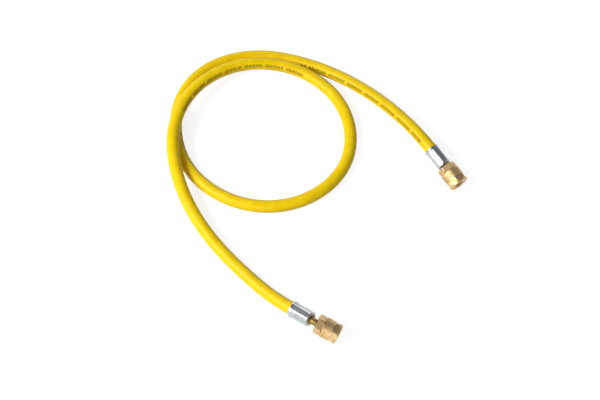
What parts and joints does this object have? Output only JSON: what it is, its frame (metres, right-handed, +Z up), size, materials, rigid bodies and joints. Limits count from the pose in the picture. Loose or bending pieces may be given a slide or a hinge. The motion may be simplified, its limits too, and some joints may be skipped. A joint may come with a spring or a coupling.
{
  "type": "refrigerant charging hose",
  "caption": "Rubber charging hose laid in one loop, with crimped steel ferrules, a straight and a bent brass tail, and knurled swivel nuts.",
  "frame": {"origin": "on the floor, under the middle of the box round the hose as it lies", "axes": "+Z up from the floor; +Y from the two fittings towards the far side of the loop; +X to the right as seen from the fittings"},
  "size_m": [0.2861, 0.3217, 0.0248],
  "materials": {
    "hose_rubber": "smooth satin yellow cover",
    "zinc_plated_steel": "bright zinc plate with crimp marks",
    "brass": "machined, fine knurl on the nuts",
    "gasket_rubber": "matt black"
  },
  "bodies": {
    "root": {"hose": "hose_rubber", "ferrule_straight": "zinc_plated_steel", "ferrule_bent": "zinc_plated_steel", "tail_straight": "brass", "tail_bent": "brass", "core_depressor": "brass", "gasket_straight": "gasket_rubber", "gasket_bent": "gasket_rubber"},
    "swivel_straight": {"nut_straight": "brass"},
    "swivel_bent": {"nut_bent": "brass"}
  },
  "joints": [
    {"name": "straight_nut_spin", "type": "hinge", "parent": "root", "child": "swivel_straight", "pos_m": [0.1233, 0.01882, 0.01249], "axis": [0.5742, -0.8046, -0.1514], "continuous": true},
    {"name": "bent_nut_spin", "type": "hinge", "parent": "root", "child": "swivel_bent", "pos_m": [-0.00061, -0.14373, 0.01429], "axis": [0.8831, -0.4023, -0.2415], "continuous": true}
  ]
}
